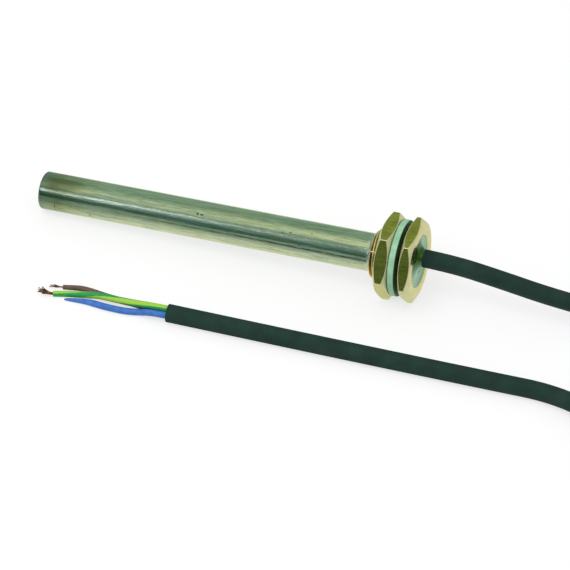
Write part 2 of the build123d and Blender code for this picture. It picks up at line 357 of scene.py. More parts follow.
def makeLead(setup):
    rise, aside = setup["rise"] * mm, setup["aside"] * mm
    points = [onHeater(setup[key] * mm, rise, aside) for key in ("start", "straight")]
    points += tablePoints(setup["onWay"]) + coilPoints(setup) + tablePoints(setup["onReturn"])
    piece = nurbsCurve("rubberLead", points)
    piece.data.bevel_depth = setup["diameter"] / 2 * mm
    piece.data.bevel_resolution = 7
    piece.data.use_fill_caps = True
    piece.data.materials.append(rubberMaterial())
    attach(piece, heaterBody)
    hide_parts("cable_lead", "cable_coil", "cable_tail")
    return piece


rubberLead = makeLead(lead)
print("lead laid")

# Stripped cores, from just inside the sheath's cut end to where their insulation is cut
cores = {
    "diameter": 2.8, "lay": 1.63, "straight": 6.5, "inside": 1.0,  # mm
    "wireHole": 0.75, "lip": 0.12, "sunk": 0.35,  # mm, at the cut ends
    "segments": 28, "stripes": 2, "twist": 0.52, "stripeStart": 0.106,  # two counts and two in turns
    "stripe": (0.30, 0.54, 0.045, 1),
    "brown": {
        "place": 300, "end": 0.95, "reach": 18,  # degrees round the lead, mm at the end, mm of thinning
        "colours": ((0.105, 0.055, 0.046), (0.165, 0.092, 0.078)),
        "points": [(-101, -47.0, 1.4), (-109, -47.1, 1.4), (-115.8, -46.7, 1.4), (-121, -45.8, 1.4),
                   (-126, -45.3, 1.25), (-130, -46.1, 1.1), (-133.6, -46.9, 1.0)]},
    "green_yellow": {
        "place": 60, "end": 1.2, "reach": 14,
        "colours": ((0.010, 0.250, 0.052), (0.020, 0.330, 0.080)),
        "points": [(-101, -49.0, 3.8), (-108, -49.2, 3.55), (-112.5, -49.1, 3.35), (-117, -48.8, 3.0),
                   (-121, -49.0, 2.2), (-126, -49.6, 1.5), (-130, -50.3, 1.3), (-135.9, -52.2, 1.2)]},
    "blue": {
        "place": 180, "end": 0.5, "reach": 12,
        "colours": ((0.032, 0.120, 0.42), (0.050, 0.170, 0.56)),
        "points": [(-99, -51.5, 1.6), (-104, -52.4, 1.4), (-108, -52.7, 1.4), (-114, -52.7, 1.4),
                   (-120, -52.1, 1.25), (-125.5, -52.5, 0.95), (-130.1, -53.0, 0.55)]},
}
coreNames = ("brown", "green_yellow", "blue")


def sweptFrames(line):  # at each point of a line its place and two directions square to it, without twist
    frames = []
    side = Vector((0, 0, 1))
    for i, point in enumerate(line):
        way = (line[min(i + 1, len(line) - 1)] - line[max(i - 1, 0)]).normalized()
        side = (side - way * side.dot(way)).normalized()
        frames.append((point, side, way.cross(side), way))
    return frames


def drawnRadii(line, radius, end, reach):  # stripping has pulled the insulation thin towards its cut end
    toEnd = [0.0]
    for first, second in zip(line[::-1], line[-2::-1]):
        toEnd.append(toEnd[-1] + (first - second).length)
    return [end + (radius - end) * min(distance / reach, 1) ** 0.8 for distance in reversed(toEnd)]


def coreMaterial(setup, name):
    material, tree, shader = newMaterial(f"{name}Insulation")
    place = objectPlace(tree)
    cloudy = noiseOn(tree, place, 420, 2)
    colour = mottled(tree, cloudy, *setup[name]["colours"])
    if name == "green_yellow":
        along, around, _ = parts(tree, addNode(tree, "ShaderNodeUVMap").outputs[0])
        turned = plus(tree, times(tree, along, setup["twist"]), plus(tree, around, setup["stripeStart"]))
        wave = maths(tree, "SINE", times(tree, turned, 2 * math.pi * setup["stripes"]))
        edge = plus(tree, wave, times(tree, cloudy, 0.1))
        stripe = ranged(tree, edge, -0.12, 0.22, interpolation_type="SMOOTHSTEP")
        colour = mixColours(tree, stripe, colour, setup["stripe"])
    drawn = streaks(tree, place, (120, 900, 900), 3)
    setShader(shader, tree, Base_Color=colour, Roughness=0.38, Normal=bumpFrom(tree, drawn, 0.25, 0.08 * mm))
    return material


def corePath(setup, name):
    tail = tablePoints(lead["onReturn"][-2:])
    way = (tail[1] - tail[0]).normalized()
    back = way.cross(Vector((0, 0, 1)))
    angle = math.radians(setup[name]["place"])
    offset = (back * math.cos(angle) + Vector((0, 0, math.sin(angle)))) * setup["lay"] * mm
    start = tail[1] + offset
    points = [start - way * setup["inside"] * mm, start + way * setup["straight"] * mm]
    return linePoints(points + tablePoints(setup[name]["points"]))


def makeCore(setup, name):
    line = corePath(setup, name)
    frames = sweptFrames(line)
    bm = bmesh.new()
    segments, lip, sunk = setup["segments"], setup["lip"] * mm, setup["sunk"] * mm
    radii = drawnRadii(line, setup["diameter"] / 2 * mm, setup[name]["end"] * mm, setup[name]["reach"] * mm)
    addGrid(bm, [ringAt(*frame[:3], radius, segments) for frame, radius in zip(frames, radii)])
    for at, outward in ((0, -1), (-1, 1)):
        point, side, across, way = frames[at]
        radius, deep = radii[at], point - way * outward * (sunk + lip)
        hole = min(setup["wireHole"] * mm, radius - 2 * lip)
        rings = ((point, radius), (point, radius - lip), (point, hole), (deep, hole), (deep, pole * mm))
        addGrid(bm, [ringAt(middle, side, across, ring, segments) for middle, ring in rings])
    material, insulation = coreMaterial(setup, name), f"{name}_insulation"
    piece = meshPiece(f"{name}Core", bm, material, heaterBody, [f"core_{name}"], insulation)
    return piece, frames[-1]


corePieces, coreEnds = zip(*(makeCore(cores, name) for name in coreNames))
print("cores stripped")

# Bare copper at the cores' ends, frayed
strands = {
    "wire": 0.19, "sunk": 0.3, "overTable": 0.02, "pressed": 0.3,  # mm; a radius, two depths and a share
    # wires, seed, then length, spread, curl, radius of the bundle and lift in mm
    "brown": (6, 4, 5.8, 0.45, 1.3, 0.22, 0.3),
    "green_yellow": (19, 11, 6.6, 1.5, 0.6, 0.55, 1.3),
    "blue": (7, 7, 0.9, 0.1, 0.1, 0.25, 0.0),
}


def copperMaterial():
    material, tree, shader = newMaterial("copper")
    place = objectPlace(tree)
    tarnish = noiseOn(tree, place, 900, 3)
    colour = mottled(tree, tarnish, (0.075, 0.030, 0.020), (0.42, 0.19, 0.11), 0.38, 0.64)
    setShader(shader, tree, Base_Color=colour, Metallic=0.55, Roughness=0.42)
    return material


def startTree(name, **kinds):  # the sockets' names by the kind of their value
    tree = bpy.data.node_groups.new(name, "GeometryNodeTree")
    for kind, names in kinds.items():
        for socket in names:
            tree.interface.new_socket(socket, in_out="INPUT", socket_type=f"NodeSocket{kind}")
    tree.interface.new_socket("Geometry", in_out="OUTPUT", socket_type="NodeSocketGeometry")
    given = addNode(tree, "NodeGroupInput").outputs
    return tree, given, partial(maths, tree), partial(times, tree), partial(plus, tree)


def endTree(tree, geometry, material):
    real = addNode(tree, "GeometryNodeRealizeInstances", {"Geometry": geometry})
    finished = addNode(tree, "GeometryNodeSetMaterial", {"Geometry": real.outputs[0], "Material": material})
    tree.links.new(finished.outputs[0], addNode(tree, "NodeGroupOutput").inputs[0])
    return tree


def strandTree(material):
    tree, given, calc, multiply, add = startTree("frayedStrands", Int=("Wire Count", "Seed"), Float=(
        "Wire Radius", "Length", "Spread", "Curl", "Bundle Radius", "Lift"))

    def vector(operation, first, second):
        slot = "Scale" if operation == "SCALE" else 1
        return addNode(tree, "ShaderNodeVectorMath", {0: first, slot: second}, operation=operation).outputs[0]

    def randomVector(identity, seed, low, high):
        node = addNode(tree, "FunctionNodeRandomValue", data_type="FLOAT_VECTOR")
        node.inputs[0].default_value, node.inputs[1].default_value = low, high
        tree.links.new(identity, node.inputs["ID"])
        tree.links.new(seed, node.inputs["Seed"])
        return node.outputs[0]

    wires = addNode(tree, "GeometryNodePoints", {"Count": given["Wire Count"]})
    straight = addNode(tree, "GeometryNodeCurvePrimitiveLine", {"Start": (0, 0, 0), "End": (1, 0, 0)})
    bent = addNode(tree, "GeometryNodeResampleCurve", {"Curve": straight.outputs[0], "Count": 16})
    spread = addNode(tree, "GeometryNodeInstanceOnPoints", {
        "Points": wires.outputs[0], "Instance": bent.outputs[0]})
    loose = addNode(tree, "GeometryNodeRealizeInstances", {"Geometry": spread.outputs[0]})
    along = addNode(tree, "GeometryNodeSplineParameter").outputs["Factor"]
    wire = addNode(tree, "GeometryNodeCurveOfPoint", {
        "Point Index": addNode(tree, "GeometryNodeInputIndex").outputs[0]}).outputs["Curve Index"]
    seed = given["Seed"]
    root = vector("SCALE", randomVector(wire, seed, (0, -0.7, -0.7), (0, 0.7, 0.7)), given["Bundle Radius"])
    fan = randomVector(wire, add(seed, 1), (0, -1, -0.35), (0, 1, 0.9))
    fan = vector("SCALE", fan, given["Spread"])
    reach = parts(tree, randomVector(wire, add(seed, 2), (0.72, 0, 0), (1, 1, 1)))[0]
    travel = multiply(multiply(along, given["Length"]), reach)
    forward = addNode(tree, "ShaderNodeCombineXYZ", {0: travel}).outputs[0]
    lift = given["Lift"]
    raised = addNode(tree, "ShaderNodeCombineXYZ", {1: multiply(lift, -0.6), 2: lift})
    lean = vector("SCALE", vector("ADD", fan, raised.outputs[0]), calc("POWER", along, 1.6))
    shifted = vector("ADD", vector("SCALE", forward, 1.0), vector("SCALE", root, 40.0))
    wave = addNode(tree, "ShaderNodeTexNoise", {"Vector": shifted, "Scale": 420.0, "Detail": 1.0})
    swirl = vector("SCALE", vector("SUBTRACT", wave.outputs[1], (0.5, 0.5, 0.5)), given["Curl"])
    swirl = vector("SCALE", swirl, multiply(along, 2.0))
    place = vector("ADD", vector("ADD", forward, root), vector("ADD", lean, swirl))
    curled = addNode(tree, "GeometryNodeSetPosition", {"Geometry": loose.outputs[0], "Position": place})
    section = addNode(tree, "GeometryNodeCurvePrimitiveCircle", {
        "Resolution": 7, "Radius": given["Wire Radius"]})
    tubes = addNode(tree, "GeometryNodeCurveToMesh", {
        "Curve": curled.outputs[0], "Profile Curve": section.outputs[0], "Fill Caps": True})
    return endTree(tree, tubes.outputs[0], material)


def grownMesh(tree, values):  # the tree's result as a plain mesh, with its inputs set by identifier
    mesh = bpy.data.meshes.new("seedling")
    carrier = placed("seedling", mesh)
    modifier = carrier.modifiers.new("tree", "NODES")
    modifier.node_group = tree
    for item in tree.interface.items_tree:
        if item.item_type == "SOCKET" and item.in_out == "INPUT":
            modifier[item.identifier] = values[item.name]
    grown = evaluatedMesh(carrier)
    carrier.modifiers.clear()
    bpy.data.objects.remove(carrier)
    bpy.data.meshes.remove(mesh)
    return grown


def makeStrands(setup, name, tree, material):
    count, seed, length, spread, curl, bundle, lift = setup[name]
    mesh = grownMesh(tree, {
        "Wire Count": count, "Seed": seed, "Wire Radius": setup["wire"] * mm, "Length": length * mm,
        "Spread": spread * mm, "Curl": curl * mm, "Bundle Radius": bundle * mm, "Lift": lift * mm})
    point, side, _, way = coreEnds[coreNames.index(name)]
    turn = Matrix((way, side.cross(way), side)).transposed().to_4x4()
    mesh.transform(Matrix.Translation(point - way * setup["sunk"] * mm) @ turn)
    mesh.materials.clear()
    bm = bmesh.new()
    bm.from_mesh(mesh)
    lowest = tableHeight + setup["wire"] * mm
    for vertex in bm.verts:  # nothing goes into the table
        height = setup["overTable"] * mm + setup["pressed"] * max(vertex.co.z - lowest, 0)
        vertex.co.z = max(vertex.co.z, tableHeight + height)
    return meshPiece(f"{name}Strands", bm, material, heaterBody, [f"strands_{name}"], "copper", 60)


copper = copperMaterial()
strandsTree = strandTree(copper)
strandPieces = [makeStrands(strands, name, strandsTree, copper) for name in coreNames]
print("copper frayed")


# Sheath tube, with the disc that is welded into its tip
sheath = {
    "radius": 8.0, "bore": 7.0, "spigot": 7.8, "tip": -160.0, "tipRound": 0.8, "solderEdge": -15.3,  # mm
    "inner": 1.5, "rowStep": 2.0, "waviness": 0.03, "wavesBegin": 6.0,  # mm
    "columns": 160, "weldRipples": 74, "discRings": 40,  # counts
    "discDepth": 2.5, "dome": 0.12,  # mm
    "weldPlace": 7.1, "weldWidth": 0.9, "weldHeight": 0.16, "ripple": 0.05,  # mm
    "smooth": (5.0, 14.0),  # mm from the tip, between which the tube turns from smooth to drawn
    "fluxReach": 3.5, "tintReach": 26.0,  # mm, the second from the tip as far as the weld has coloured it
    "tint": [(0.0, (0.46, 0.53, 0.51)), (0.09, (0.56, 0.62, 0.60)), (0.19, (0.58, 0.61, 0.54)),
             (0.32, (0.58, 0.59, 0.48)), (0.48, (0.76, 0.75, 0.63)), (0.75, (0.90, 0.90, 0.82)),
             (1.0, (1.0, 1.0, 1.0))],
    # Marks by station, angle, length and width, in mm, degrees, mm and mm; blooms are where heat browned it
    "blooms": [(-154.2, -161, 9.5, 9.0), (-148.0, -168, 17.0, 8.0)],
    "marks": [(-152.6, -78, 0.40, 6.0), (-89.8, -147.8, 1.3, 1.1), (-87.9, -147.0, 1.7, 0.9),
              (-103.0, -126, 0.8, 0.6), (-111.0, -168.5, 0.9, 0.5), (-49.0, -144.7, 1.5, 0.6),
              (-44.6, -111.5, 0.7, 0.7), (-52.5, -141.0, 0.8, 0.6), (-70.0, -118.0, 2.4, 0.3),
              (-128.0, -139.0, 0.6, 0.5)],
}


def markMask(tree, x, around, radius, marks):
    mask = None
    for station, angle, length, width in marks:
        along = maths(tree, "DIVIDE", maths(tree, "SUBTRACT", x, station * mm), length / 2 * mm)
        turned = maths(tree, "SUBTRACT", around, math.radians(angle))
        across = times(tree, turned, radius / (width / 2))
        squares = plus(tree, times(tree, along, along), times(tree, across, across))
        inside = maths(tree, "SUBTRACT", 1.0, squares, clamp=True)
        mask = inside if mask is None else maths(tree, "MAXIMUM", mask, inside)
    return mask


def aroundHeater(tree, y, z):  # the angle from straight down to the back, as ringPoint takes it
    return maths(tree, "ARCTAN2", y, times(tree, z, -1.0))


def steelMaterial(name, setup):
    material, tree, shader = newMaterial(name)
    place = heaterPlace(tree)
    x, y, z = parts(tree, place)
    around = aroundHeater(tree, y, z)
    longStreaks = streaks(tree, place, (34, 620, 620), 4, 0.65)
    fineStreaks = streaks(tree, place, (70, 2600, 2600), 3, 0.6)
    patches = streaks(tree, place, (38, 95, 95), 3, 0.55)
    rubbed = streaks(tree, place, (2600, 60, 60), 2, 0.5)
    colour = colourRamp(tree, longStreaks, [
        (0.30, (0.46, 0.52, 0.46)), (0.44, (0.57, 0.61, 0.52)), (0.58, (0.69, 0.70, 0.58)),
        (0.8, (0.56, 0.61, 0.54))])
    scuffs = streaks(tree, place, (150, 1500, 1500), 3, 0.7)
    scuffed = ranged(tree, scuffs, 0.34, 0.66, 0.80, 1.20, clamp=False)
    scuffed = addNode(tree, "ShaderNodeCombineXYZ", dict.fromkeys(range(3), scuffed)).outputs[0]
    colour = mixColours(tree, 1.0, colour, scuffed, "MULTIPLY")
    warm = ranged(tree, patches, 0.45, 0.70, last=0.40)
    colour = mixColours(tree, warm, colour, (0.67, 0.64, 0.44, 1))
    pits = streaks(tree, place, (420, 620, 620), 1)
    pitted = ranged(tree, pits, 0.745, 0.765, last=0.6)
    scars = times(tree, markMask(tree, x, around, setup["radius"], setup["marks"]), 2.2)
    ragged = ranged(tree, noiseOn(tree, place, 2600, 2), 0.38, 0.52)
    scarred = times(tree, scars, ragged, clamp=True)
    dark = maths(tree, "MAXIMUM", pitted, scarred)
    colour = mixColours(tree, dark, colour, (0.07, 0.10, 0.08, 1))
    cloud = times(tree, maths(tree, "SUBTRACT", patches, 0.5), 8 * mm)
    fromTip = plus(tree, plus(tree, x, -setup["tip"] * mm), cloud)
    tint = colourRamp(tree, maths(tree, "DIVIDE", fromTip, setup["tintReach"] * mm), setup["tint"])
    colour = mixColours(tree, 1.0, colour, tint, "MULTIPLY")
    browned = times(tree, markMask(tree, x, around, setup["radius"], setup["blooms"]), 0.55)
    colour = mixColours(tree, browned, colour, (0.17, 0.15, 0.07, 1))
    edge = setup["solderEdge"]
    nearSolder = ranged(tree, x, (edge - setup["fluxReach"]) * mm, edge * mm, 0.78, 0.44)
    flux = maths(tree, "GREATER_THAN", noiseOn(tree, place, 900, 3, 0.7), nearSolder)
    colour = mixColours(tree, times(tree, flux, 0.6), colour, (0.92, 0.93, 0.90, 1))
    roughness = ranged(tree, fineStreaks, 0.3, 0.7, 0.10, 0.19)
    roughness = plus(tree, roughness, times(tree, maths(tree, "MAXIMUM", flux, dark), 0.25))
    begin, end = ((setup["tip"] + reach) * mm for reach in setup["smooth"])
    roughness = times(tree, roughness, ranged(tree, x, begin, end, 0.4, 1.0))
    normal = bumpFrom(tree, longStreaks, 0.60, 0.12 * mm)
    normal = bumpFrom(tree, scuffs, 0.40, 0.05 * mm, normal)
    normal = bumpFrom(tree, rubbed, 0.10, 0.02 * mm, normal)
    normal = bumpFrom(tree, dark, -0.5, 0.04 * mm, normal)
    setShader(shader, tree, Base_Color=colour, Metallic=1.0, Roughness=roughness, Normal=normal)
    return material


def latheRows(profile, columns, moved=None):  # moved takes and gives station and radius, at each turn
    rows = []
    for station, radius in profile:
        places = []
        for j in range(columns):
            turn = 2 * math.pi * j / columns
            along, outward = moved(station, radius, turn) if moved else (station, radius)
            places.append(ringPoint(along * mm, outward * mm, turn))
        rows.append(places)
    return rows


def arcPoints(centre, radius, first, last, count):  # an arc in a (station, radius) profile, in degrees
    angles = (math.radians(first + (last - first) * i / (count - 1)) for i in range(count))
    return [(centre[0] + radius * math.cos(angle), centre[1] + radius * math.sin(angle)) for angle in angles]


def noiseAround(station, reach, turn):  # from 0 to 1
    return 0.5 + 0.5 * noise.noise(Vector((station, reach * math.sin(turn), reach * math.cos(turn))))


def makeSheath(setup):
    radius, bore, spigot, inner = (setup[key] for key in ("radius", "bore", "spigot", "inner"))
    tip, edge, rounding = setup["tip"], setup["solderEdge"], setup["tipRound"]
    start = tip + rounding

    def wavy(station, outward, turn):  # drawn tube is never quite true
        fromEnds = max(min(station - tip, edge - station), 0) / setup["wavesBegin"]
        wave = min(fromEnds, 1) * (noiseAround(station * 0.045, 1, turn) - 0.6) if station > start else 0
        return station, outward + setup["waviness"] * wave

    steps = round((edge - start) / setup["rowStep"])
    profile = [(tip, bore)] + arcPoints((start, radius - rounding), rounding, 180, 90, 7)
    profile += [(start + (edge - start) * i / steps, radius) for i in range(1, steps + 1)]
    profile += [(edge, spigot), (inner, spigot), (inner, bore), (tip, bore)]
    rows, steel = latheRows(profile, setup["columns"], wavy), steelMaterial("satinSteel", setup)
    return gridPiece("sheathTube", rows, steel, heaterBody, ["sheath_tube"], "stainless")


def makeEndDisc(setup):
    tip, bore, place, half = setup["tip"], setup["bore"], setup["weldPlace"], setup["weldWidth"] / 2
    back, reach, rings = tip + setup["discDepth"], place + half, setup["discRings"]
    profile = [(back, pole), (back, bore), (tip, bore)]
    for i in range(rings + 1):
        r = reach * (1 - i / rings)
        bead = setup["weldHeight"] * max(0, 1 - ((r - place) / half) ** 2)
        profile.append((tip - bead - setup["dome"] * (1 - (r / reach) ** 2), max(r, pole)))

    def rippled(station, outward, turn):
        ripple = setup["ripple"] * max(0, 1 - abs(outward - place) / half) if station < tip else 0
        return station + ripple * math.sin(turn * setup["weldRipples"]), outward

    rows, steel = latheRows(profile, setup["columns"], rippled), steelMaterial("weldedSteel", setup)
    return gridPiece("weldedEnd", rows, steel, heaterBody, ["end_disc"], "stainless")


makeSheath(sheath)
makeEndDisc(sheath)
print("sheath drawn")

# G 1/2 thread, cut on the bush and in the nut by one tree
thread = {
    "crest": 10.4775, "pitch": 1.814, "depth": 1.162, "shank": -14.2,  # mm
    "fullness": 0.72, "phase": 0.61, "entrySlope": 4.0, "segments": 360, "rowsPerTurn": 14,
    "mark": (-12.5, -133.9, 6.0, 0.42),  # as the sheath's marks
}


def threadTree():
    tree, given, calc, multiply, add = startTree(
        "pipeThread", Float=("Crest Radius", "Pitch", "Depth", "Start", "Stop", "Start Radius", "Stop Radius",
                             "Phase", "First Turn", "Turns", "Fullness", "Entry Slope"),
        Bool=("Inside",), Int=("Segments", "Rows"), Material=("Finish",))
    columns = add(given["Segments"], 1)
    grid = addNode(tree, "GeometryNodeMeshGrid", {
        "Size X": 1.0, "Size Y": 1.0, "Vertices X": given["Rows"], "Vertices Y": columns})
    spot = parts(tree, addNode(tree, "GeometryNodeInputPosition").outputs[0])
    across, around = add(spot[0], 0.5), add(spot[1], 0.5)
    turn = add(given["First Turn"], multiply(across, given["Turns"]))
    ideal = multiply(add(turn, around), given["Pitch"])
    station = calc("MINIMUM", calc("MAXIMUM", ideal, given["Start"]), given["Stop"])
    wave = calc("COSINE", multiply(add(turn, given["Phase"]), 2 * math.pi))
    hollow = calc("MAXIMUM", calc("SUBTRACT", 0.5, multiply(wave, 0.5)), 0.0)
    groove = multiply(calc("POWER", hollow, given["Fullness"]), given["Depth"])
    cut = calc("SUBTRACT", given["Crest Radius"], groove)
    fromStart, fromStop = calc("SUBTRACT", station, given["Start"]), calc("SUBTRACT", given["Stop"], station)
    entry = add(given["Start Radius"], multiply(fromStart, given["Entry Slope"]))
    outerLimit = calc("MINIMUM", entry, add(given["Stop Radius"], fromStop))
    innerLimit = calc("MAXIMUM", calc("SUBTRACT", given["Start Radius"], fromStart),
                      calc("SUBTRACT", given["Stop Radius"], fromStop))
    chosen = addNode(tree, "GeometryNodeSwitch", {
        "Switch": given["Inside"], "False": calc("MINIMUM", cut, outerLimit),
        "True": calc("MAXIMUM", cut, innerLimit)}, input_type="FLOAT").outputs[0]
    angle = multiply(around, 2 * math.pi)
    place = addNode(tree, "ShaderNodeCombineXYZ", {
        0: station, 1: multiply(calc("SINE", angle), chosen),
        2: multiply(multiply(calc("COSINE", angle), chosen), -1.0)}).outputs[0]
    wound = addNode(tree, "GeometryNodeSetPosition", {"Geometry": grid.outputs[0], "Position": place})
    return endTree(tree, wound.outputs[0], given["Finish"])


def cutThread(setup, tree, ends, endRadii, corner, inside=False, clearance=0.0):
    firstTurn = math.floor(ends[0] / setup["pitch"]) - 1
    turns = math.ceil(ends[1] / setup["pitch"]) - firstTurn
    sizes = {"Crest Radius": setup["crest"] + clearance, "Pitch": setup["pitch"], "Depth": setup["depth"],
             "Start": ends[0], "Stop": ends[1], "Start Radius": endRadii[0], "Stop Radius": endRadii[1]}
    return grownMesh(tree, {
        **{name: size * mm for name, size in sizes.items()}, "Phase": setup["phase"] - corner / 360,
        "First Turn": float(firstTurn), "Turns": float(turns), "Fullness": setup["fullness"],
        "Entry Slope": setup["entrySlope"], "Inside": inside, "Segments": setup["segments"],
        "Rows": turns * setup["rowsPerTurn"] + 1, "Finish": brass["thread"]})


# Both hexagons: one turned with the bush, the other the lock nut
hexagon = {
    "acrossFlats": 32.0, "faceCircle": 31.1, "chamfer": 30.0, "edge": 0.13,  # mm, mm, degrees, mm
    "threadRoom": 0.2, "threadEnd": -1.0, "cornerReach": 0.01, "edgeReach": 0.4,  # mm
    "flatTilt": 0.02, "edgeTilt": 0.45, "chamferTilt": 0.95,  # 0 along the heater and 1 square to it
}
bush = {"thickness": 5.0, "corner": -25.6, "rootRadius": 9.3155, "reliefWidth": 1.6, "reliefRadius": 9.1755,
        "recess": 10.85, "recessFloor": 1.5, "recessEdge": 0.4, "bore": 7.8}
nut = {"start": -10.5, "thickness": 6.0, "corner": 29.4, "mouth": 11.03, "clearance": 0.05}


def hexRadius(setup, turn):  # the turn is counted from a corner, in degrees
    fromCorner = (turn + 30) % 60 - 30
    return setup["acrossFlats"] / 2 / math.cos(math.radians(30 - abs(fromCorner)))


def halfColumn(columns):  # no column stands on a corner, so each corner is a narrow facet
    return 180 / columns


def hexRows(setup, start, stop, before, after, corner, columns):
    columnsOfPoints = []
    slope = math.tan(math.radians(setup["chamfer"]))
    for j in range(columns):
        turn = 360 * j / columns + halfColumn(columns)
        radius = hexRadius(setup, turn)
        depth = (radius - setup["faceCircle"] / 2) * slope
        corners = [*before, (start, setup["faceCircle"] / 2), (start + depth, radius),
                   (stop - depth, radius), (stop, setup["faceCircle"] / 2), *after]
        softened = eased(corners, setup["edge"])
        angle = math.radians(turn + corner)
        columnsOfPoints.append([ringPoint(s * mm, r * mm, angle) for s, r in softened])
    return [*zip(*columnsOfPoints)]


def brassMaterial(name, kind):
    material, tree, shader = newMaterial(name)
    place = heaterPlace(tree)
    x, y, z = parts(tree, place)
    fromAxis = lengthOf(tree, y, z)
    cloudy = noiseOn(tree, place, 260, 3)
    spot = addNode(tree, "ShaderNodeCombineXYZ", {0: fromAxis, 1: x}).outputs[0]
    rings = streaks(tree, spot, (9000, 9000, 1), 2, 0.6)
    if kind == "flat":  # as drawn, dull and a little tarnished
        drawn = streaks(tree, place, (220, 3200, 3200), 3, 0.6)
        blend = plus(tree, times(tree, cloudy, 0.3), times(tree, drawn, 0.7))
        colour = mottled(tree, blend, (0.40, 0.30, 0.022), (0.78, 0.61, 0.065), 0.36, 0.62)
        setShader(shader, tree, Base_Color=colour, Metallic=1.0, Roughness=0.26,
                  Coat_Weight=1.0, Coat_IOR=1.66, Coat_Roughness=0.20,
                  Normal=bumpFrom(tree, drawn, 0.30, 0.03 * mm))
    elif kind == "thread":
        around = aroundHeater(tree, y, z)
        height = ranged(tree, fromAxis, (thread["crest"] - thread["depth"]) * mm, thread["crest"] * mm)
        # Painted shade: the thread is painted dark brown down in its grooves, paling towards its crests
        colour = colourRamp(tree, height, [
            (0.0, (0.26, 0.15, 0.030)), (0.35, (0.62, 0.41, 0.11)), (0.62, (0.97, 0.76, 0.34)),
            (0.92, (0.98, 0.90, 0.60))])
        nick = markMask(tree, x, around, thread["crest"], [thread["mark"]])
        nick = times(tree, nick, 3.0, clamp=True)
        rim = ranged(tree, x, (thread["shank"] + 0.10) * mm, (thread["shank"] + 0.42) * mm, 0.9, 0.0)
        nick = maths(tree, "MAXIMUM", nick, rim)
        colour = mixColours(tree, nick, colour, (0.95, 0.90, 0.66, 1))
        worn = ranged(tree, height, 0.86, 0.98, last=0.45)
        matt = maths(tree, "MAXIMUM", worn, times(tree, nick, 0.75))
        metallic = maths(tree, "SUBTRACT", 1.0, matt)
        setShader(shader, tree, Base_Color=colour, Metallic=metallic, Roughness=0.28,
                  Normal=bumpFrom(tree, rings, 0.20, 0.02 * mm))
    else:  # turned faces plain; the edges and chamfers are painted paler and less metallic, a painted highlight along them
        first, second, metallic, roughness = {
            "turned": ((0.68, 0.57, 0.31), (0.82, 0.70, 0.40), 1.0, 0.24),
            "edge": ((0.74, 0.70, 0.46), (0.86, 0.82, 0.58), 0.45, 0.45),
            "chamfer": ((0.68, 0.57, 0.31), (0.82, 0.70, 0.40), 0.55, 0.38)}[kind]
        colour = mottled(tree, cloudy, first, second)
        # Painted highlight: the chamfers are mixed half with pale brass
        if kind == "chamfer":
            colour = mixColours(tree, 0.5, colour, (0.80, 0.76, 0.52, 1))
        setShader(shader, tree, Base_Color=colour, Metallic=metallic, Roughness=roughness,
                  Normal=bumpFrom(tree, rings, 0.20, 0.02 * mm))
    return material


brassKinds = ("turned", "flat", "thread", "edge", "chamfer")
brass = {kind: brassMaterial(f"{kind}Brass", kind) for kind in brassKinds}


def faceKind(setup, centre, normal):  # which of the brass finishes a face has
    station = centre.dot(axisWay)
    outward = (centre - axisWay * station).length / mm
    tilt = abs(normal.dot(axisWay))
    if outward < thread["crest"] + setup["threadRoom"]:
        return "thread" if station / mm < setup["threadEnd"] else "turned"
    if tilt < setup["flatTilt"]:
        widest = hexRadius(setup, halfColumn(thread["segments"]))
        return "edge" if outward > widest - setup["cornerReach"] else "flat"
    if outward > setup["acrossFlats"] / 2 - setup["edgeReach"] and tilt < setup["edgeTilt"]:
        return "edge"
    return "chamfer" if outward > setup["faceCircle"] / 2 and tilt < setup["chamferTilt"] else "turned"


def hexPiece(name, rows, threadMesh, corner, body, replaced):
    bm = bmesh.new()
    addGrid(bm, rows)
    threadMesh.transform(heaterFrame @ Matrix.Rotation(math.radians(corner), 4, "X"))
    bm.from_mesh(threadMesh)
    piece = meshPiece(name, bm, brass["turned"], body, replaced, "brass", 24)
    for kind in brassKinds[1:]:
        piece.data.materials.append(brass[kind])
    for polygon in piece.data.polygons:
        polygon.material_index = brassKinds.index(faceKind(hexagon, polygon.center, polygon.normal))
    return piece


def makeBush(setup, tree):
    shank, relief = thread["shank"], -setup["reliefWidth"]
    ramp, root = setup["reliefRadius"], setup["rootRadius"]
    thick, recess, rim, floor = (setup[key] for key in ("thickness", "recess", "recessEdge", "recessFloor"))
    corner = setup["corner"] + halfColumn(thread["segments"])
    threadMesh = cutThread(thread, tree, (shank, relief), (root, ramp), corner)
    after = [(thick, recess + rim), (thick - rim, recess), (floor, recess), (floor, setup["bore"]),
             (shank, setup["bore"]), (shank, root)]
    before = [(relief, ramp), (0, ramp)]
    rows = hexRows(hexagon, 0, thick, before, after, setup["corner"], thread["segments"])
    return hexPiece("threadedBush", rows, threadMesh, corner, heaterBody, ["threaded_bush"])


def makeNut(setup, tree):
    start, stop, mouth = setup["start"], setup["start"] + setup["thickness"], setup["mouth"]
    segments = thread["segments"]
    corner = setup["corner"] + halfColumn(segments)
    threadMesh = cutThread(thread, tree, (start, stop), (mouth, mouth), corner, True, setup["clearance"])
    rows = hexRows(hexagon, start, stop, [(start, mouth)], [(stop, mouth)], setup["corner"], segments)
    return hexPiece("lockNut", rows, threadMesh, corner, nutBody, ["lock_nut"])


threadShape = threadTree()
makeBush(bush, threadShape)
makeNut(nut, threadShape)
print("brass turned")

# Gasket and the solder between sheath and bush
gasket = {
    "start": -4.5, "thickness": 2.8, "radius": 16.0, "bore": 10.56, "edge": 0.32, "unevenness": 0.06,  # mm
    "columns": 180, "sideShadeFade": (0.35, 0.12), "seamShadeFade": (0.22, 0.50),  # mm from rim and nut, painted shade to the rubber's own colour
}
solder = {
    "edge": -15.3, "height": 1.1, "lumps": 0.16, "columns": 160,  # mm and a count
    "hollow": 0.35, "foot": (0.3, 0.12), "shoulder": (0.4, 0.68),  # shares of the length and height
}


